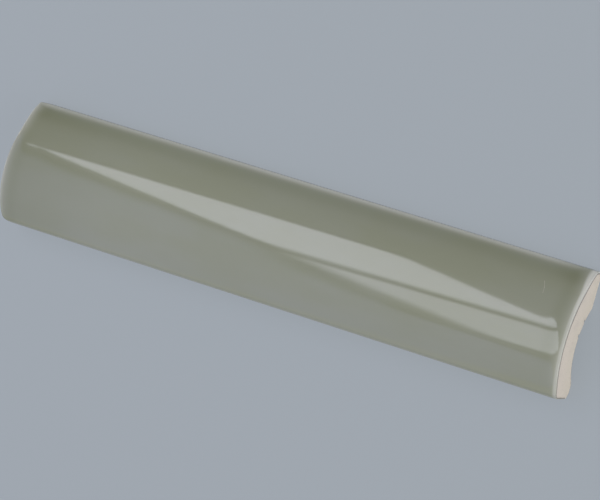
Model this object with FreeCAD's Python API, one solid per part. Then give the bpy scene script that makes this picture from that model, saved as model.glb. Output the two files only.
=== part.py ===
import FreeCAD, Part
import os

# Bullnose trim tile, lying on its back: +X along the tile, +Y towards the thin
# upper edge, +Z out of the glazed face. The back lands lie on z = 0. Sizes in mm.
tile_length = 150.0
tile_width = 30.0
lower_edge_height = 7.7      # height of the thick edge, where it meets the next tile
upper_edge_height = 2.9      # height of the thin edge, where it meets the wall
crown_rise = 6.65            # rise of the front arc above the line joining its two edges
lower_nose_radius = 2.5      # rounding of the front along the thick edge
upper_nose_radius = 1.5      # rounding of the front along the thin edge
end_round = 0.9              # soft edge where the glazed front rolls over to the cut ends
upper_land_width = 8.6       # back land beside the thin edge, with its arris
lower_land_width = 3.6       # back land beside the thick edge, with its heel
hollow_depth = 3.8           # depth of the concave keying hollow between the lands
heel_width = 1.4             # eased back corner under the thick edge, measured on the back
heel_height = 1.0            # the same corner, measured up the edge
upper_arris = 0.4            # eased back corner under the thin edge

half_length = tile_length / 2
half_width = tile_width / 2


def point(y, z):
    return FreeCAD.Vector(-half_length, y, z)


def arc(start, middle, end):
    return Part.Arc(start, middle, end).toShape()


def raised_middle(start, end, rise):
    # point that stands off the middle of a chord, on the +Z side of it
    chord = end - start
    normal = FreeCAD.Vector(0, -chord.z, chord.y).normalize()
    return (start + end) * 0.5 + normal * rise


# Section: one convex arc for the front, straight edges, eased back corners
# and one concave arc between the lands
lower_heel_in = point(-half_width + heel_width, 0)
lower_heel_out = point(-half_width, heel_height)
lower_front = point(-half_width, lower_edge_height)
upper_front = point(half_width, upper_edge_height)
upper_arris_out = point(half_width, upper_arris)
upper_arris_in = point(half_width - upper_arris, 0)
hollow_upper = point(half_width - upper_land_width, 0)
hollow_lower = point(-half_width + lower_land_width, 0)

section = Part.Wire([
    Part.makeLine(lower_heel_in, lower_heel_out),
    Part.makeLine(lower_heel_out, lower_front),
    arc(lower_front, raised_middle(lower_front, upper_front, crown_rise), upper_front),
    Part.makeLine(upper_front, upper_arris_out),
    Part.makeLine(upper_arris_out, upper_arris_in),
    Part.makeLine(upper_arris_in, hollow_upper),
    arc(hollow_upper, raised_middle(hollow_lower, hollow_upper, hollow_depth), hollow_lower),
    Part.makeLine(hollow_lower, lower_heel_in),
])
tile = Part.Face(section).extrude(FreeCAD.Vector(tile_length, 0, 0))


def long_edges_at(solid, y, z):
    found = []
    for edge in solid.Edges:
        middle = edge.CenterOfMass
        if abs(middle.x) < 0.01 and abs(middle.y - y) < 0.01 and abs(middle.z - z) < 0.01:
            found.append(edge)
    return found


# Bullnose roundings along both sides of the front
tile = tile.makeFillet(lower_nose_radius, long_edges_at(tile, -half_width, lower_edge_height))
tile = tile.makeFillet(upper_nose_radius, long_edges_at(tile, half_width, upper_edge_height))

# The front and both sides roll over to the cut ends; the back keeps its sharp ends
end_edges = []
for edge in tile.Edges:
    box = edge.BoundBox
    at_end = box.XLength < 0.01 and abs(abs(box.XMin) - half_length) < 0.01
    on_front = box.ZMin > 0.01
    if at_end and on_front:
        end_edges.append(edge)
tile = tile.makeFillet(end_round, end_edges).Solids[0]

os.makedirs("parts", exist_ok=True)
tile.exportStep("parts/bullnose_tile.step")
print("bullnose_tile", tile.ShapeType, tile.isValid(), round(tile.Volume, 1))
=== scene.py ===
import math
import bpy
import numpy as np
from mathutils import Euler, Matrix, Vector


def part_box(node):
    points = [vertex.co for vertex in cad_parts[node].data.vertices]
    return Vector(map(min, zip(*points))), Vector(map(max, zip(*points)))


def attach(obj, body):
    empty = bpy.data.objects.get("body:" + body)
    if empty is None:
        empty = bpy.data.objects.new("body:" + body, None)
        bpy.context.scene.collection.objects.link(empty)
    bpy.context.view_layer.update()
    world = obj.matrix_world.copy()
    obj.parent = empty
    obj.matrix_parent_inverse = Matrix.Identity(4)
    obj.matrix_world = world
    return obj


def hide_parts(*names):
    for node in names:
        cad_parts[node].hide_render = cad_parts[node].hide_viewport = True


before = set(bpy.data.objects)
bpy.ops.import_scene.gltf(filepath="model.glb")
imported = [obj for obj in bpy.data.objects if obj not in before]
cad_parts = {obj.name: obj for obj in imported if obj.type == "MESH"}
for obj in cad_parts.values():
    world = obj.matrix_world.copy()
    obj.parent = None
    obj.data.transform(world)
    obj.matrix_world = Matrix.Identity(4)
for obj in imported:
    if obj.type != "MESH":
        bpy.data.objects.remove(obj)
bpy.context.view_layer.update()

mm = 0.001  # shapes are worked out in millimetres, meshes are in metres
tileLow, tileHigh = (np.array(corner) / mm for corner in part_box("bullnose_tile"))
print("frame loaded:", np.round(tileHigh - tileLow, 2), "mm")

# section of the tile, the same as the solid's
tileSection = {
    "length": tileHigh[0] - tileLow[0],
    "width": tileHigh[1] - tileLow[1],
    "lowerEdge": 7.7,     # height of the thick edge
    "upperEdge": 2.9,     # height of the thin edge
    "crownRise": 6.65,    # rise of the front arc over the line between the edges
    "lowerNose": 2.5,     # rounding along the thick edge
    "upperNose": 1.5,     # rounding along the thin edge
    "upperLand": 8.6,     # back land beside the thin edge
    "lowerLand": 3.6,     # back land beside the thick edge
    "hollowDepth": 3.8,
    "heelWidth": 1.4,     # eased back corner under the thick edge
    "heelHeight": 1.0,
    "upperArris": 0.4,    # eased back corner under the thin edge
}


def frontRuns(section):
    # the outside of the section from the heel to the arris, in five runs: up the thick edge, a nose arc,
    # the crown, a nose arc, down the thin edge. the crown's circle passes both edge heights and has the
    # radius (half chord^2 + rise^2) / (2 rise); each nose touches its edge and, from inside, the crown
    half = section["width"] / 2
    low = np.array([-half, section["lowerEdge"]])
    high = np.array([half, section["upperEdge"]])
    chord = high - low
    halfChord = np.linalg.norm(chord) / 2
    rise = section["crownRise"]
    crown = (halfChord ** 2 + rise ** 2) / (2 * rise)
    outward = np.array([-chord[1], chord[0]]) / (2 * halfChord)
    centre = (low + high) / 2 + outward * (rise - crown)

    lowNose, highNose = section["lowerNose"], section["upperNose"]
    noses = np.array([lowNose, highNose])
    noseY = np.array([lowNose - half, half - highNose])
    noseZ = centre[1] + np.sqrt((crown - noses) ** 2 - (noseY - centre[0]) ** 2)
    lowTurn, highTurn = np.arctan2(noseZ - centre[1], noseY - centre[0])
    lengths = np.array([
        noseZ[0] - section["heelHeight"],
        lowNose * (math.pi - lowTurn),
        crown * (lowTurn - highTurn),
        highNose * highTurn,
        noseZ[1] - section["upperArris"],
    ])
    return {
        "lengths": lengths,
        "joins": np.concatenate([[0.0], np.cumsum(lengths)]),
        "radii": np.array([lowNose, crown, highNose]),
        "centres": np.array([(noseY[0], noseZ[0]), centre, (noseY[1], noseZ[1])]),
    }


def frontPoint(runs, s):
    # y, z and the turn of the outward normal at the way s along the five runs. the turn is half a circle
    # less the way along each arc over its radius; the point is on the arc's circle at that turn, lowered by
    # what is left of the first straight and by what is done of the last one
    joins, lengths, radii = runs["joins"], runs["lengths"], runs["radii"]
    done = np.clip(s[..., None] - joins[:-1], 0.0, lengths)
    turn = math.pi - (done[..., 1:4] / radii).sum(axis=-1)
    arc = np.searchsorted(joins[2:4], s)
    lowered = lengths[0] - done[..., 0] + done[..., 4]
    y = runs["centres"][arc, 0] + radii[arc] * np.cos(turn)
    z = runs["centres"][arc, 1] + radii[arc] * np.sin(turn) - lowered
    return y, z, turn


def spread(stops, counts):
    # evenly spaced steps between each pair of stops, with every stop hit exactly once
    runs = [np.linspace(a, b, n + 1)[:-1] for a, b, n in zip(stops[:-1], stops[1:], counts)]
    return np.concatenate(runs + [stops[-1:]])


def ease(value, low, high):
    # 0 below low, 1 above high, and 3 t^2 - 2 t^3 between
    t = np.clip((value - low) / (high - low), 0.0, 1.0)
    return t * t * (3 - 2 * t)


def bell(distance, width):
    # 1 at no distance, 1/e at the width
    return np.exp(-(distance / width) ** 2)


def change(value, steps):
    # eases from the first number to the second while the value goes from the third to the fourth
    first, second, low, high = steps
    return first + (second - first) * ease(value, low, high)


def hump(value, shape):
    # a bell with the height, place and width of the shape
    height, place, width = shape
    return height * bell(value - place, width)


rippleWaves = {
    "count": 4,
    "finer": 0.83,      # every next wave is finer by this
    "weaker": 0.5,      # and weaker by this
    "turned": 2.4,      # and turned on by this, in radians
    "bend": 1.3,        # each is bent by a slower wave across it
    "bendPitch": 0.7,
    "shift": 3.1,       # shift along the waves with the seed
    "divisor": 2.2,     # keeps the sum between about -1 and 1
}


def ripple(a, b, seed):
    # sum of crossing sine waves: each is the sine of its pitch times the way along its heading, plus a
    # bend that is a slower sine of the way across it
    waves = rippleWaves
    total = 0.0
    for k in range(waves["count"]):
        heading = seed + waves["turned"] * k
        along = a * math.cos(heading) + b * math.sin(heading)
        across = b * math.cos(heading) - a * math.sin(heading)
        bend = waves["bend"] * np.sin(waves["bendPitch"] * across + seed * k)
        wave = np.sin((1 + waves["finer"] * k) * along + bend + waves["shift"] * seed)
        total = total + wave / (1 + waves["weaker"] * k)
    return total / waves["divisor"]


def endRun(radius, drop, lip, bead, reach, place, steps):
    # one end of the front, column by column, from the level face to the edge of the glaze: the face swells
    # to a low bead, falls by drop times a power of the way through the reach, rolls over on a circle and
    # runs down the cut end for the length of the lip. rows of distance from the end, depth under the
    # section line, lean of the surface, and way down the lip from 0 to 1
    begin, power, beadAt, beadWidth = place
    faceSteps, turnSteps, lipSteps = steps
    crowding = 0.6  # under 1 brings the rows on the face closer together towards the end
    lean = np.arctan(power * drop / (reach - radius))
    start = radius * (1 - np.sin(lean))
    onFace = begin + (start - begin) * np.linspace(0.0, 1.0, faceSteps + 1)[:-1, None] ** crowding
    way = np.clip((reach - onFace) / (reach - start), 0.0, 1.0)
    turn = lean + (math.pi / 2 - lean) * np.linspace(0.0, 1.0, turnSteps + 1)[:, None]
    down = np.linspace(0.0, 1.0, lipSteps + 1)[1:, None] + 0 * radius
    rolled = drop + radius * (np.cos(lean) - np.cos(turn))
    foot = drop + radius * np.cos(lean)
    fromEnd = np.concatenate([onFace, radius * (1 - np.sin(turn)), 0 * down])
    depth = np.concatenate([drop * way ** power, rolled, foot + lip * down])
    depth = depth - bead * bell(fromEnd - beadAt, beadWidth)
    swing = np.concatenate([lean * way ** (power - 1), turn, math.pi / 2 + 0 * down])
    lipWay = np.concatenate([0 * way, 0 * turn, down])
    return np.stack([fromEnd, depth, swing, lipWay])


def bothEnds(section, coat, near, far, piece):
    # rows from the far end to the near one, in the steps of the piece: the far run backwards, level rows
    # between, the near run; the distance from the end becomes x
    near = endRun(*near, coat["nearPlace"], piece["endSteps"])
    far = endRun(*far, coat["farPlace"], piece["endSteps"])
    half = section["length"] / 2
    first = far[0, 0].max() - half
    last = half - near[0, 0].max()
    level = np.linspace(first, last, piece["middleSteps"] + 1)[1:-1, None] + 0 * near[0, 0]
    x = np.concatenate([far[0, ::-1] - half, level, half - near[0]])
    rest = np.concatenate([far[1:, ::-1], np.zeros((3, *level.shape)), near[1:]], axis=1)
    return np.concatenate([x[None], rest])


def endShapes(coat, share):
    # radius, drop, lip, bead and reach of the near end and of the far end; share is 0 at the thick edge and
    # 1 at the thin edge. the near end is crisper at both of its corners, the far end is rounder at its heel
    # and its shoulder
    lowCorner, highCorner = coat["nearCorners"]
    crisp, lipLeft = coat["nearCrisp"], coat["nearLipLeft"]
    trim = crisp + (1 - crisp) * ease(share, *lowCorner) * (1 - ease(share, *highCorner))
    near = [
        trim * change(share, coat["nearRound"]),
        trim * coat["nearDrop"],
        change(share, coat["nearLip"]) * (lipLeft + (1 - lipLeft) * trim),
        change(share, coat["nearBead"]),
        change(share, coat["nearReach"]),
    ]
    far = [
        coat["farRound"] + change(share, coat["farHeel"]) + hump(share, coat["farShoulder"]),
        change(share, coat["farDrop"]),
        change(share, coat["farLip"]),
        coat["farBead"] + 0 * share,
        coat["farReach"] + 0 * share,
    ]
    return near, far


def skinPoints(section, runs, s, ends, under, coat):
    # the front of the tile as rows along the length and columns round the section: the section point at s,
    # moved in along the section's normal by the depth of the end run, lifted by the slow waves of the
    # fired surface, and set back by under along the full normal
    x, depth, swing = ends[:3]
    y, z, turn = frontPoint(runs, s)
    fromEnd = section["length"] / 2 - np.abs(x)
    alongPitch, roundPitch = coat["wavePitch"]
    waves = ripple(x / alongPitch, s / roundPitch, seed=0.7) * ease(fromEnd, *coat["waveFade"])
    level = coat["waves"] * waves - depth - under * np.cos(swing)
    back = np.sign(x) * under * np.sin(swing)
    return np.stack([x - back, y + np.cos(turn) * level, z + np.sin(turn) * level], axis=-1)


def gridFaces(index):
    # quads between neighbouring rows and columns of a grid of point numbers
    corners = [index[:-1, :-1], index[1:, :-1], index[1:, 1:], index[:-1, 1:]]
    return np.stack(corners, axis=-1).reshape(-1, 4)


def borderRing(index):
    # point numbers once round a grid's border, back to the first
    return np.concatenate([index[0, :-1], index[:-1, -1], index[-1, :0:-1], index[::-1, 0]])


def meshPiece(name, points, faces, values, material, sharpFrom):
    mesh = bpy.data.meshes.new(name)
    mesh.from_pydata((points * mm).tolist(), [], faces.tolist())
    for key, value in values.items():
        mesh.attributes.new(key, "FLOAT", "POINT").data.foreach_set("value", value.astype(np.float32))
    mesh.shade_smooth()
    mesh.set_sharp_from_angle(angle=math.radians(sharpFrom))
    mesh.materials.append(material)
    piece = bpy.data.objects.new(name, mesh)
    bpy.context.scene.collection.objects.link(piece)
    print(name, "has", len(mesh.vertices), "points and", len(mesh.polygons), "faces")
    return piece


def newMaterial(name):
    material = bpy.data.materials.new(name)
    material.use_nodes = True
    material.node_tree.nodes.clear()
    return material, material.node_tree


def addNode(tree, kind, inputs=None, **settings):
    # a node with its settings; an input is a plain value or the socket that feeds it
    node = tree.nodes.new(kind)
    for key, value in settings.items():
        setattr(node, key, value)
    for key, value in (inputs or {}).items():
        if isinstance(value, bpy.types.NodeSocket):
            tree.links.new(value, node.inputs[key])
        else:
            node.inputs[key].default_value = value
    return node


def mixColour(tree, amount, first, second):
    # sockets of the mix node by number: factor, then the two colours
    return addNode(tree, "ShaderNodeMix", {0: amount, 6: first, 7: second}, data_type="RGBA").outputs[2]


def remap(tree, value, low, high, toLow=0.0, toHigh=1.0):
    # eases between two values as the input goes from low to high
    sockets = {0: value, 1: low, 2: high, 3: toLow, 4: toHigh}
    return addNode(tree, "ShaderNodeMapRange", sockets, interpolation_type="SMOOTHSTEP").outputs[0]


def noise(tree, coords, scale, detail=2.0, roughness=0.5):
    sockets = {"Vector": coords, "Scale": scale, "Detail": detail, "Roughness": roughness}
    return addNode(tree, "ShaderNodeTexNoise", sockets).outputs["Fac"]


def attribute(tree, name):
    return addNode(tree, "ShaderNodeAttribute", attribute_name=name).outputs["Fac"]


def scalarMath(tree, operation, first, second):
    return addNode(tree, "ShaderNodeMath", {0: first, 1: second}, operation=operation).outputs[0]


def vectorMath(tree, operation, first, second, output="Vector"):
    return addNode(tree, "ShaderNodeVectorMath", {0: first, 1: second}, operation=operation).outputs[output]


def stroke(tree, coords, start, end, width, strength):
    # full strength on the straight line between two points and 0 beyond the width from it
    start = np.array(start) * mm
    along = np.array(end) * mm - start
    fromStart = vectorMath(tree, "SUBTRACT", coords, start.tolist())
    share = vectorMath(tree, "DOT_PRODUCT", fromStart, (along / (along @ along)).tolist(), "Value")
    share = addNode(tree, "ShaderNodeClamp", {0: share}).outputs[0]
    scaled = addNode(tree, "ShaderNodeVectorMath", {0: along.tolist(), "Scale": share}, operation="SCALE")
    away = vectorMath(tree, "DISTANCE", fromStart, scaled.outputs[0], "Value")
    return remap(tree, away, 0.0, width * mm, strength, 0.0)


def surface(tree, look, colour, grain, relief):
    # joins a colour to the output: the roughness follows the grain, and the relief is bumped
    roughness = remap(tree, grain, *look["grainSpan"], *look["roughness"])
    bump = addNode(tree, "ShaderNodeBump", {
        "Strength": look["bumpStrength"], "Distance": look["bumpDepth"] * mm, "Height": relief})
    shader = addNode(tree, "ShaderNodeBsdfPrincipled", {
        "Base Color": colour, "Roughness": roughness, "IOR": look["ior"], "Normal": bump.outputs[0]})
    addNode(tree, "ShaderNodeOutputMaterial", {"Surface": shader.outputs[0]})


def screen(red, green, blue):
    # linear colour of a screen colour given from 0 to 255: straight at the dark end, then a power of 2.4
    part = np.array([red, green, blue]) / 255.0
    linear = np.where(part <= 0.04045, part / 12.92, ((part + 0.055) / 1.055) ** 2.4)
    return (*linear.tolist(), 1.0)


frontShape = frontRuns(tileSection)

# four numbers are a change: before, after, and where it starts and ends; three are a hump: height, place
# and width. round the front, places are shares of the way from the thick edge to the thin one
glazeCoat = {
    "thickness": 0.25,
    "lowStop": 0.7,                         # bare body under the glaze on the thick edge, above the heel
    "highStop": 0.1,                        # and on the thin edge, above the arris
    "nearRound": (0.22, 0.42, 0.0, 1.0),    # rounding of the near end
    "nearDrop": 0.25,                       # fall of the face towards the near end
    "nearReach": (2.1, 3.4, 0.38, 0.6),     # where that fall starts
    "nearLip": (0.36, 0.62, 0.2, 0.7),      # how far the glaze laps on to the near end
    "nearBead": (0.0, 0.034, 0.42, 0.56),   # low swelling of the glaze beside the near end
    "nearPlace": (14.0, 2.6, 3.0, 2.0),     # first row, power of the fall, place and width of the bead
    "nearCorners": ((0.10, 0.22), (0.78, 0.92)),
    "nearCrisp": 0.3,                       # share of the near end's rounding and fall left at its corners
    "nearLipLeft": 0.6,                     # share of its lip left where those are gone
    "farRound": 0.6,                        # rounding of the far end
    "farHeel": (2.3, 0.0, 0.0, 0.36),       # more of it at the heel
    "farShoulder": (0.9, 0.72, 0.14),       # and at the shoulder
    "farDrop": (0.08, 0.12, 0.0, 1.0),
    "farReach": 4.5,
    "farLip": (0.25, 0.30, 0.0, 1.0),
    "farBead": -0.011,                      # here a low dip
    "farPlace": (14.0, 3.0, 7.0, 2.5),
    "lipWander": 0.05,                      # unevenness of the glaze line on the cut ends
    "lipPitch": 1.1,
    "lowRagged": 0.12,                      # and on the thick edge
    "lowPitch": 2.6,
    "highRagged": 0.072,                    # and on the thin edge
    "highPitch": 2.2,
    "waves": 0.0025,                        # slow unevenness of the fired surface
    "wavePitch": (7.0, 6.0),
    "waveFade": (0.5, 5.0),                 # the waves come in between these distances from an end
    "roundSteps": (8, 14, 96, 18, 6),       # columns on the five runs of the front
    "endSteps": (40, 12, 6),                # rows on the face beside an end, on its rounding and its lip
    "middleSteps": 100,
    "sharpFrom": 40.0,

    # where the glaze is lighter, partly because it breaks thin and partly as painted highlight: on the near
    # end's rim and a halo beside it
    "rimWidth": (1.0, 1.9, 0.74, 0.92),
    "rimFade": (0.4, 1.15),                 # in rim widths from the end
    "rim": (0.4, 0.55, 0.12, 0.3),
    "rimMore": (0.0, 0.45, 0.5, 0.85),
    "halo": (0.0, 0.6, 0.12, 0.35),
    "haloReach": 0.8,                       # in rim widths
    # on the far end's rim, partly painted highlight: at least, and added on the shoulder
    "farShoulderSpan": ((0.6, 0.76), (0.88, 1.0)),
    "farRim": (0.75, 0.25),
    "farRimReach": (0.65, 0.4),
    # along the nose of the thin edge, weaker towards the ends, and over the nose of the thick edge, partly
    # painted highlight
    "noseStart": 0.2,
    "noseRise": (0.62, 0.0, 1.05),
    "noseFall": (0.62, 0.42, 0.0, 1.5),
    "noseByNear": (0.3, 1.0, 1.0, 13.0),
    "noseByFar": (0.75, 1.0, 0.0, 70.0),
    "heelThinAndHighlight": (0.3, 0.5, 0.9),

    # where it is darker, partly pooled glaze and partly painted shade: along a line before the thin edge's
    # nose, more beside the ends
    "pool": 0.24,
    "poolLine": (-3.2, 2.4),
    "poolByNear": (0.3, 4.5, 4.0),
    "poolByFar": (0.08, 4.5, 4.0),
    "farTail": (0.3, 0.0, 0.0, 35.0),       # painted shade, by the distance from the far end
    "nearPool": (0.2, 3.6, 1.8),            # behind the rims
    "nearPoolSpan": (0.25, 0.55),
    "farPool": (0.12, 3.4, 1.6),

    # where it is darker at its edge: on the lip's last part, a little on the rounding
    "lipDarkSpan": (0.25, 0.5),
    "turnDarker": (0.0, 0.2, 0.7, 1.4),

    # a thin light streak through three points, by distance from the near end, place across and height
    "lightStreak": ((9.88, 9.94, 8.16), (9.18, 8.6, 9.05), (8.94, 7.37, 9.74)),
    "streakWidth": 0.075,
    "streakStrength": 0.7,
    "colour": screen(134, 136, 113),
    "greyer": screen(136, 138, 118),
    # darker colour of pooled glaze and of painted shade
    "poolAndShade": screen(108, 110, 79),
    # light colour of thin glaze and of painted highlight
    "thinGlazeAndHighlight": screen(200, 198, 186),
    "margin": screen(124, 116, 107),
    "cloudStretch": 0.35,                   # clouds of greyer colour are drawn out along the tile
    "cloudScale": 90.0,
    "cloudDetail": 3.0,
    "cloudSpan": (0.36, 0.66),
    "grainScale": 900.0,
    "grainSpan": (0.3, 0.7),
    "roughness": (0.055, 0.085),
    "peelScale": 260.0,
    "peelDetail": 1.0,
    "bumpStrength": 0.06,
    "bumpDepth": 0.02,
    "ior": 1.5,
}


def glazeMaterial(section, look):
    material, tree = newMaterial("sageGlaze")
    coords = addNode(tree, "ShaderNodeTexCoord").outputs["Object"]
    stretch = (look["cloudStretch"], 1.0, 1.0)
    drawn = addNode(tree, "ShaderNodeMapping", {"Vector": coords, "Scale": stretch}).outputs[0]
    clouds = noise(tree, drawn, look["cloudScale"], look["cloudDetail"])
    colour = mixColour(tree, remap(tree, clouds, *look["cloudSpan"]), look["colour"], look["greyer"])
    # mixes in painted shade with pooled glaze, painted highlight with thin glaze, and the darker glaze
    # edge, each by its attribute
    for name in ("poolAndShade", "thinGlazeAndHighlight", "margin"):
        colour = mixColour(tree, attribute(tree, name), colour, look[name])
    lightStreak = [(section["length"] / 2 - fromEnd, y, z) for fromEnd, y, z in look["lightStreak"]]
    # a thin light streak in the light glaze colour along the three points
    for start, end in zip(lightStreak[:-1], lightStreak[1:]):
        streakMask = stroke(tree, coords, start, end, look["streakWidth"], look["streakStrength"])
        colour = mixColour(tree, streakMask, colour, look["thinGlazeAndHighlight"])
    grain = noise(tree, coords, look["grainScale"])
    peel = noise(tree, coords, look["peelScale"], look["peelDetail"])
    surface(tree, look, colour, grain, peel)
    return material


def glazeValues(section, runs, coat, share, s, ends):
    # three values from 0 to 1 for every point: lighter over sharp turns, thin glaze and painted highlight,
    # where the strongest cause counts; darker beside them, pooled glaze and painted shade, where the causes
    # add up; and darker where the glaze ends
    x, swing, lipWay = ends[0], ends[2], ends[3]
    joins = runs["joins"]
    atNear = x > 0
    fromEnd = section["length"] / 2 - np.abs(x)
    fromFar = section["length"] / 2 + x
    fromNose = s - joins[3] - coat["noseStart"]

    rimWidth = change(share, coat["rimWidth"])
    rimStart, rimStop = (widths * rimWidth for widths in coat["rimFade"])
    rim = change(share, coat["rim"]) + change(share, coat["rimMore"])
    rim = rim * (1 - ease(fromEnd, rimStart, rimStop))
    halo = change(share, coat["halo"]) * np.exp(-fromEnd / (coat["haloReach"] * rimWidth))
    rising, falling = coat["farShoulderSpan"]
    shoulder = ease(share, *rising) * (1 - ease(share, *falling))
    farRim, farReach = (least + more * shoulder for least, more in (coat["farRim"], coat["farRimReach"]))
    overEnd = np.where(atNear, np.maximum(rim, halo), farRim * np.exp(-fromEnd / farReach))

    alongNose = np.where(atNear, change(fromEnd, coat["noseByNear"]), change(fromEnd, coat["noseByFar"]))
    overNose = np.where(fromNose < 0, hump(fromNose, coat["noseRise"]), change(fromNose, coat["noseFall"]))
    # painted highlight with thin glaze over the thick edge's nose
    overHeel = hump(s - joins[1], coat["heelThinAndHighlight"])
    thinGlazeAndHighlight = np.maximum.reduce([overEnd, overNose * alongNose, overHeel])

    lineAt, lineWidth = coat["poolLine"]
    byEnd = np.where(atNear, hump(fromEnd, coat["poolByNear"]), hump(fromEnd, coat["poolByFar"]))
    alongLine = (coat["pool"] + byEnd) * bell(fromNose - lineAt, lineWidth)
    nearPool = hump(fromEnd, coat["nearPool"]) * ease(share, *coat["nearPoolSpan"])
    behindRim = np.where(atNear, nearPool, hump(fromEnd, coat["farPool"]))
    # pooled glaze and painted shade add up here
    poolAndShade = alongLine + change(fromFar, coat["farTail"]) + behindRim
    poolAndShade = np.clip(poolAndShade, 0.0, 1.0) * (1 - thinGlazeAndHighlight)

    margin = np.maximum(ease(lipWay, *coat["lipDarkSpan"]), change(swing, coat["turnDarker"]))
    return {"thinGlazeAndHighlight": thinGlazeAndHighlight, "poolAndShade": poolAndShade, "margin": margin}


def buildGlaze(section, runs, coat):
    # a closed shell: the outer skin, the same skin set back by the thickness, and a strip round the border
    joins = runs["joins"]
    stops = np.array([coat["lowStop"], *joins[1:5], joins[5] - coat["highStop"]])
    level = spread(stops, coat["roundSteps"])
    share = (level - level[0]) / (level[-1] - level[0])
    near, far = endShapes(coat, share)
    wander = coat["lipWander"] * ripple(level * coat["lipPitch"], 0 * level, seed=1.9)
    near[2] = near[2] + wander
    far[2] = far[2] - wander
    ends = bothEnds(section, coat, near, far, coat)
    x = ends[0]

    # the glaze line on the long edges wanders up and down
    lowLine = ripple(x / coat["lowPitch"], 0 * x, seed=0.4) * (1 - ease(level, level[0], joins[1]))
    highLine = ripple(x / coat["highPitch"], 0 * x, seed=2.2) * ease(level, joins[4], level[-1])
    s = level + coat["lowRagged"] * lowLine + coat["highRagged"] * highLine

    outer = skinPoints(section, runs, s, ends, 0.0, coat)
    inner = skinPoints(section, runs, s, ends, coat["thickness"], coat)
    index = np.arange(x.size).reshape(x.shape)
    ring = borderRing(index)
    faces = np.concatenate([
        gridFaces(index),
        gridFaces(index + index.size)[:, ::-1],
        gridFaces(np.stack([ring + index.size, ring])),
    ])
    values = glazeValues(section, runs, coat, share, s, ends)
    values = {key: np.tile(value.reshape(-1), 2) for key, value in values.items()}
    points = np.concatenate([outer.reshape(-1, 3), inner.reshape(-1, 3)])
    return meshPiece("glazeCoat", points, faces, values, glazeMaterial(section, coat), coat["sharpFrom"])


glaze = buildGlaze(tileSection, frontShape, glazeCoat)
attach(glaze, "root")

bisqueBody = {
    "underGlaze": 0.12,         # how far the body lies under the glaze's surface
    "waves": 0.02,              # slow unevenness of the hollow
    "wavePitch": (9.0, 6.0),
    "waveSpan": (0.3, 2.0),     # comes in between these heights
    "grain": 0.015,             # roughness of the cut ends
    "grainPitch": 2.2,
    "cornerFade": 4.0,          # the back's corners follow the ends' rounding over this width
    "pits": ((3.4, 2.5), (-0.1, 3.7), (-9.8, 0.9), (-11.0, 0.0)),  # chips on the near end, across and up, darkened with painted shade
    "pitSize": 0.3,
    "pitDepth": 0.25,
    "pitSpan": (1.0, 0.3),      # chips come in between these distances from the near end
    "sideSteps": 34,            # columns on each edge
    "backSteps": (4, 36, 102, 28, 20),  # on arris, land, hollow, land and heel
    "endSteps": (16, 7, 0),     # rows on the face beside an end and on its rounding, with no lip
    "middleSteps": 50,
    "sharpFrom": 35.0,
    "colour": screen(200, 191, 173),
    "pinker": screen(202, 191, 176),
    "speck": screen(178, 170, 157),
    # painted shade inside the chips
    "pitShade": screen(120, 110, 98),
    "cloudScale": 240.0,
    "cloudDetail": 4.0,
    "grainScale": 2600.0,
    "grainDetail": 2.0,
    "noiseRoughness": 0.6,
    "cloudSpecks": (0.45, 0.75, 0.0, 0.35),     # noise from and to, share of speck colour from and to
    "grainSpecks": (0.58, 0.74, 0.0, 0.6),
    "grainSpan": (0.3, 0.7),
    "roughness": (0.82, 0.94),
    "bumpStrength": 0.5,
    "bumpDepth": 0.04,
    "ior": 1.45,
}


def bisqueMaterial(look):
    material, tree = newMaterial("creamBisque")
    coords = addNode(tree, "ShaderNodeTexCoord").outputs["Object"]
    clouds = noise(tree, coords, look["cloudScale"], look["cloudDetail"], look["noiseRoughness"])
    grain = noise(tree, coords, look["grainScale"], look["grainDetail"], look["noiseRoughness"])
    colour = mixColour(tree, attribute(tree, "underGlaze"), look["colour"], look["pinker"])
    colour = mixColour(tree, remap(tree, clouds, *look["cloudSpecks"]), colour, look["speck"])
    colour = mixColour(tree, remap(tree, grain, *look["grainSpecks"]), colour, look["speck"])
    # painted shade darkens the chips
    colour = mixColour(tree, attribute(tree, "pit"), colour, look["pitShade"])
    surface(tree, look, colour, grain, grain)
    return material


def backLine(section, steps):
    # the back from the arris to the heel: arris slope, land, hollow as an arc of radius
    # (half width^2 + depth^2) / (2 depth), land, heel slope; ends left out, they are the front's
    half = section["width"] / 2
    hollowTop = half - section["upperLand"]
    hollowFoot = -half + section["lowerLand"]
    arrisFoot = half - section["upperArris"]
    heelFoot = -half + section["heelWidth"]
    y = spread(np.array([half, arrisFoot, hollowTop, hollowFoot, heelFoot, -half]), steps)[1:-1]
    span = (hollowTop - hollowFoot) / 2
    depth = section["hollowDepth"]
    radius = (span ** 2 + depth ** 2) / (2 * depth)
    fromMiddle = y - (hollowTop + hollowFoot) / 2
    arch = depth - radius + np.sqrt(np.maximum(radius ** 2 - fromMiddle ** 2, 0.0))
    heel = (heelFoot - y) * section["heelHeight"] / section["heelWidth"]
    return y, np.maximum.reduce([arch, y - arrisFoot, heel, 0 * y])


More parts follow.
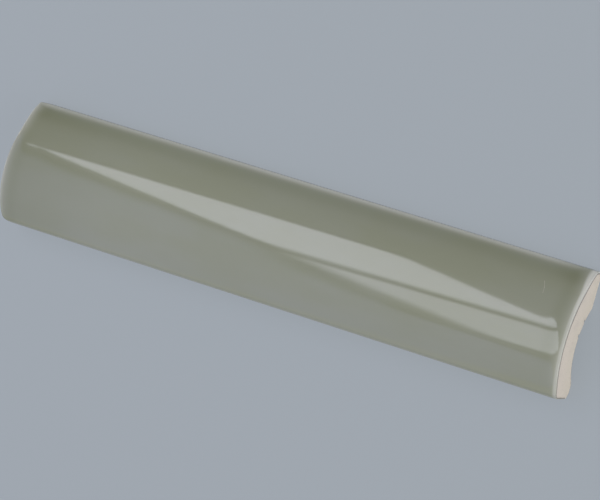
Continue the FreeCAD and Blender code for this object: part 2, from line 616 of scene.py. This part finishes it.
def endPatch(place, ring, columns, sideSteps, frontSteps):
    # a cut end between four sides of the body's loop: every inside point is the sum of the two ways
    # across, each of them straight between opposite sides, less the straight blend of the corners.
    # gives the grid of point numbers, with gaps for the inside points, and those points
    corner = columns - 1
    left = ring[:sideSteps + 1]
    top = ring[sideSteps:sideSteps + frontSteps + 1]
    right = ring[corner - sideSteps:corner + 1][::-1]
    bottom = np.concatenate([ring[:1], ring[corner:][::-1]])
    patch = np.zeros((sideSteps + 1, frontSteps + 1), int)
    patch[0], patch[-1], patch[:, 0], patch[:, -1] = bottom, top, left, right
    low, high, first, last = (place[side - ring[0]] for side in (bottom, top, left, right))
    up = np.linspace(0.0, 1.0, sideSteps + 1)[:, None, None]
    over = np.linspace(0.0, 1.0, frontSteps + 1)[:, None]
    upward = (1 - up) * low + up * high
    sideways = (1 - over) * first[:, None] + over * last[:, None]
    lowBlend = (1 - over) * low[0] + over * low[-1]
    highBlend = (1 - over) * high[0] + over * high[-1]
    corners = (1 - up) * lowBlend + up * highBlend
    return patch, (upward + sideways - corners)[1:-1, 1:-1]


def bodyBack(section, body, front):
    # the back of the body: x is the straight blend between the front's two edges, y and z are the back
    # line's, with corners that follow the front's rounding and slow waves in the hollow
    backY, backZ = backLine(section, body["backSteps"])
    half = section["width"] / 2
    upper, lower = front[:, -1:], front[:, :1]
    blend = (half - backY) / section["width"]
    backX = upper[..., 0] + (lower[..., 0] - upper[..., 0]) * blend
    shiftUpper = (half - upper[..., 1]) * (1 - ease(half - backY, 0.0, body["cornerFade"]))
    shiftLower = (lower[..., 1] + half) * (1 - ease(backY + half, 0.0, body["cornerFade"]))
    alongPitch, acrossPitch = body["wavePitch"]
    waves = 1 + ripple(backX / alongPitch, backY / acrossPitch, seed=1.1)
    uneven = body["waves"] * waves * ease(backZ, *body["waveSpan"])
    return np.stack([backX, backY - shiftUpper + shiftLower, backZ + uneven], axis=-1)


def chips(section, body, points):
    # how far every point lies in a chip, from 0 to 1: a bell of the distance to the nearest chip, on the
    # near end only
    fromPit = np.min([np.hypot(points[:, 1] - y, points[:, 2] - z) for y, z in body["pits"]], axis=0)
    pitStart, pitFull = (section["length"] / 2 - distance for distance in body["pitSpan"])
    return bell(fromPit, body["pitSize"]) * ease(points[:, 0], pitStart, pitFull)


def buildBisque(section, runs, coat, body):
    # a closed tube: the front a little under the glaze, the back, and a patch over each end.
    # columns: up the thick edge to the middle of its nose, over the front, down the thin edge
    joins = runs["joins"]
    sideSteps, frontSteps = body["sideSteps"], sum(body["backSteps"])
    lowMiddle, highMiddle = (joins[1] + joins[2]) / 2, (joins[3] + joins[4]) / 2
    s = spread(np.array([0.0, lowMiddle, highMiddle, joins[5]]), (sideSteps, frontSteps, sideSteps))
    share = np.clip((s - coat["lowStop"]) / (joins[5] - coat["highStop"] - coat["lowStop"]), 0.0, 1.0)
    near, far = endShapes(coat, share)
    ends = bothEnds(section, coat, near, far, body)
    front = skinPoints(section, runs, s + 0 * ends[0], ends, body["underGlaze"], coat)
    loop = np.concatenate([front, bodyBack(section, body, front)], axis=1)
    rows, count = loop.shape[:2]
    tube = np.arange(rows * count).reshape(rows, count)
    faces = [gridFaces(np.concatenate([tube, tube[:, :1]], axis=1))]
    points = [loop.reshape(-1, 3)]
    toGlaze = [np.tile(np.arange(count) < len(s), rows)]
    rise = np.linspace(0.0, 1.0, sideSteps + 1)[1:-1]
    start = tube.size
    for row, flip, seed in ((0, 1, 1.3), (rows - 1, -1, -0.7)):
        patch, inside = endPatch(loop[row], tube[row], len(s), sideSteps, frontSteps)
        across, up = np.moveaxis(inside[..., 1:], -1, 0) * body["grainPitch"]
        inside[..., 0] += body["grain"] * ripple(across, up, seed)
        patch[1:-1, 1:-1] = start + np.arange(inside[..., 0].size).reshape(inside.shape[:2])
        start += inside[..., 0].size
        faces.append(gridFaces(patch)[:, ::flip])
        points.append(inside.reshape(-1, 3))
        toGlaze.append(np.repeat(rise, inside.shape[1]))
    points = np.concatenate(points)
    pit = chips(section, body, points)
    points[:, 0] -= body["pitDepth"] * pit
    values = {"underGlaze": np.concatenate(toGlaze), "pit": pit}
    material = bisqueMaterial(body)
    return meshPiece("bisqueBody", points, np.concatenate(faces), values, material, body["sharpFrom"])


bisque = buildBisque(tileSection, frontShape, glazeCoat, bisqueBody)
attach(bisque, "root")
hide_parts("bullnose_tile")
print("tile dressed")

studio = {
    "floor": screen(160, 167, 173),
    "floorHalf": 2000.0,
    "flatShare": 0.8,           # share of the floor's look that is a flat pale colour
    "world": 0.355,
    "lampTint": (0.97, 0.98, 1.04, 1.0),

    # a window of two panes with a bar between them, by places and levels on its own plane
    "windowPlace": (-129.5, 91.8, 367.2),
    "windowTurn": (3.96, -11.17, 29.69),
    "windowTop": 255.0,
    "windowBar": (-71.0, -64.0),
    "windowFoot": -246.0,
    "windowTint": (0.98, 1.0, 1.11, 1.0),
    "upperPane": 4.25,          # glow of the panes
    "lowerPane": 3.2,
    "upperSoftEnds": 36.0,      # fade of the upper pane at its foot and top
    "lowerSoftEnds": 20.0,      # fade of the lower pane at its foot and top
    "lowerSoftSide": 25.0,      # fade of the lower pane at its left
    "leastGlow": 0.14,          # share of the glow left on the soft edges
    "paneWidth": 150.0,
    "lowerPaneSides": ((-89.6, -77.6), (72.1, 72.1)),  # left and right edge, each at its foot and top
    "upperPaneSides": ((-62.5, -77.0), (64.5, 82.0)),

    # a grey card beside it, with a bent edge that runs past the window
    "cardStrength": 1.05,
    "cardTint": (0.60, 0.63, 1.0, 1.0),
    "cardLevels": (-600.0, -284.0, -245.0, -170.0, -100.0, -48.0, 61.0, 400.0),
    "cardEdge": (-74.0, -74.0, -108.0, -98.0, -70.0, -70.0, -86.0, -98.0),  # at each level
    "cardBehind": 1.0,          # the card lies this far behind the window
    "cardWidth": 700.0,
    "cardSoftEdge": 36.0,

    # upright panels beside the thick edge and beyond the far end, and a wide one that faces the near end
    "sideAway": 700.0,
    "sideHalf": 800.0,
    "sideHeight": 420.0,
    "sideStrength": 0.8,
    "backAway": 575.0,
    "backHalf": 400.0,
    "backHeight": 120.0,
    "backStrength": 5.0,
    "backTint": (1.0, 0.97, 0.88, 1.0),
    "fillPlace": (760.0, -60.0, 330.0),
    "fillHalf": (560.0, 330.0),
    "fillStrength": 2.8,
}


def stagePlane(name, corners, material, fades=None):
    # a strip of four-cornered planes through pairs of corners, left and right; fades give each corner's
    # distance from a soft edge, by name
    mesh = bpy.data.meshes.new(name)
    index = np.arange(len(corners)).reshape(-1, 2)
    mesh.from_pydata((np.array(corners) * mm).tolist(), [], gridFaces(index)[:, ::-1].tolist())
    mesh.materials.append(material)
    for key, distance in (fades or {}).items():
        mesh.attributes.new(key, "FLOAT", "POINT").data.foreach_set("value", distance)
    plane = bpy.data.objects.new(name, mesh)
    bpy.context.scene.collection.objects.link(plane)
    return plane


def stageLamp(name, corners, material, fades=None):
    # a glowing plane that the camera looks through
    lamp = stagePlane(name, corners, material, fades)
    lamp.visible_camera = False
    return lamp


def panelCorners(middle, sideways, upward):
    # the corners of a panel from its middle and its two half widths, in pairs of left and right
    middle, sideways, upward = np.array(middle), np.array(sideways), np.array(upward)
    return [middle + a * sideways + b * upward for b in (-1, 1) for a in (-1, 1)]


def floorMaterial(look):
    # the lit floor, with a share of flat colour where the camera or a reflection meets it
    material, tree = newMaterial("paleFloor")
    ray = addNode(tree, "ShaderNodeLightPath").outputs
    lit = addNode(tree, "ShaderNodeBsdfDiffuse", {"Color": look["floor"]}).outputs[0]
    flat = addNode(tree, "ShaderNodeEmission", {"Color": look["floor"]}).outputs[0]
    seen = scalarMath(tree, "MAXIMUM", ray["Is Camera Ray"], ray["Is Glossy Ray"])
    share = scalarMath(tree, "MULTIPLY", seen, look["flatShare"])
    both = addNode(tree, "ShaderNodeMixShader", {0: share, 1: lit, 2: flat})
    addNode(tree, "ShaderNodeOutputMaterial", {"Surface": both.outputs[0]})
    return material


def lampMaterial(name, tint, strength, softEdges=None, least=0.0):
    # an even glow, or one that fades in from the plane's soft edges, given by name and width; least is the
    # share of the glow left on the edges
    material, tree = newMaterial(name)
    glow = strength
    for key, width in (softEdges or {}).items():
        fade = remap(tree, attribute(tree, key), 0.0, width, least, 1.0)
        glow = scalarMath(tree, "MULTIPLY", fade, glow)
    lamp = addNode(tree, "ShaderNodeEmission", {"Color": tint, "Strength": glow})
    addNode(tree, "ShaderNodeOutputMaterial", {"Surface": lamp.outputs[0]})
    return material


def buildWindow(look):
    # the window's plane is turned about x, then y, then z, and moved to its place
    turned = np.array(Euler(np.radians(look["windowTurn"]), "XYZ").to_matrix())

    def strip(left, right, levels, behind=0.0):
        # pairs of corners on the window's plane, from the lowest level to the highest
        edges = [np.stack([edge, levels, behind + 0 * levels], axis=-1) for edge in (left, right)]
        return np.stack(edges, axis=1).reshape(-1, 3) @ turned.T + look["windowPlace"]

    def pane(name, foot, top, sides, strength, softEdges):
        # three pairs of corners, so that the glow can fade towards the foot and the top
        pairs = 3
        left, right = (np.linspace(*side, pairs) for side in sides)
        levels = np.linspace(foot, top, pairs)
        fades = {
            "inward": np.tile([0.0, look["paneWidth"]], pairs),
            "level": np.repeat([0.0, (top - foot) / 2, 0.0], 2),
        }
        glow = lampMaterial(name + "Glow", look["windowTint"], strength, softEdges, look["leastGlow"])
        stageLamp(name, strip(left, right, levels), glow, {key: fades[key] for key in softEdges})

    barLow, barHigh = look["windowBar"]
    lowSoft = {"inward": look["lowerSoftSide"], "level": look["lowerSoftEnds"]}
    highSoft = {"level": look["upperSoftEnds"]}
    pane("lowerPane", look["windowFoot"], barLow, look["lowerPaneSides"], look["lowerPane"], lowSoft)
    pane("upperPane", barHigh, look["windowTop"], look["upperPaneSides"], look["upperPane"], highSoft)

    edge, levels = np.array(look["cardEdge"]), np.array(look["cardLevels"])
    wide, cardSoft = look["cardWidth"], {"inward": look["cardSoftEdge"]}
    corners = strip(edge - wide, edge, levels, look["cardBehind"])
    glow = lampMaterial("cardGlow", look["cardTint"], look["cardStrength"], cardSoft)
    stageLamp("greyCard", corners, glow, {"inward": np.tile([wide, 0.0], len(edge))})


def buildPanels(look):
    rise = look["sideHeight"] / 2
    corners = panelCorners((0, -look["sideAway"], rise), (look["sideHalf"], 0, 0), (0, 0, rise))
    stageLamp("sideCard", corners, lampMaterial("sideGlow", look["lampTint"], look["sideStrength"]))

    # lights the far end's bare face; the glaze doesn't mirror it
    rise = look["backHeight"] / 2
    corners = panelCorners((-look["backAway"], 0, rise), (0, look["backHalf"], 0), (0, 0, rise))
    glow = lampMaterial("backGlow", look["backTint"], look["backStrength"])
    stageLamp("backPanel", corners, glow).visible_glossy = False

    # faces the tile from the near end
    place = np.array(look["fillPlace"])
    halfWidth, halfHeight = look["fillHalf"]
    outward = place / np.linalg.norm(place)
    level = np.cross((0.0, 0.0, 1.0), outward)
    level = level / np.linalg.norm(level)
    corners = panelCorners(place, level * halfWidth, np.cross(outward, level) * halfHeight)
    stageLamp("fillPanel", corners, lampMaterial("fillGlow", look["lampTint"], look["fillStrength"]))


def buildAir(look):
    # an even world, with the floor's colour behind everything the camera sees
    world = bpy.data.worlds.new("studioAir")
    world.use_nodes = True
    tree = world.node_tree
    tree.nodes.clear()
    seen = addNode(tree, "ShaderNodeLightPath").outputs["Is Camera Ray"]
    air = addNode(tree, "ShaderNodeBackground", {"Color": look["lampTint"], "Strength": look["world"]})
    pale = addNode(tree, "ShaderNodeBackground", {"Color": look["floor"], "Strength": 1.0})
    both = addNode(tree, "ShaderNodeMixShader", {0: seen, 1: air.outputs[0], 2: pale.outputs[0]})
    addNode(tree, "ShaderNodeOutputWorld", {"Surface": both.outputs[0]})
    bpy.context.scene.world = world


floorHalf = studio["floorHalf"]
stagePlane("floor", panelCorners((0, 0, 0), (floorHalf, 0, 0), (0, floorHalf, 0)), floorMaterial(studio))
buildWindow(studio)
buildPanels(studio)
buildAir(studio)
bpy.context.scene.view_settings.view_transform = "Standard"
print("studio lit")

viewpoint = {
    "place": (323.91, 71.29, 710.30),
    "turn": (1.702, 24.912, 16.644),
    "lens": 200.05,
    "sensor": 36.0,
    "clipStart": 0.01,
}


def buildCamera(look):
    lens = bpy.data.cameras.new("viewpoint")
    lens.lens = look["lens"]
    lens.sensor_width = look["sensor"]
    lens.clip_start = look["clipStart"]
    camera = bpy.data.objects.new("viewpoint", lens)
    camera.location = np.array(look["place"]) * mm
    camera.rotation_euler = np.radians(look["turn"])
    bpy.context.scene.collection.objects.link(camera)
    bpy.context.scene.camera = camera


buildCamera(viewpoint)
print("camera placed")
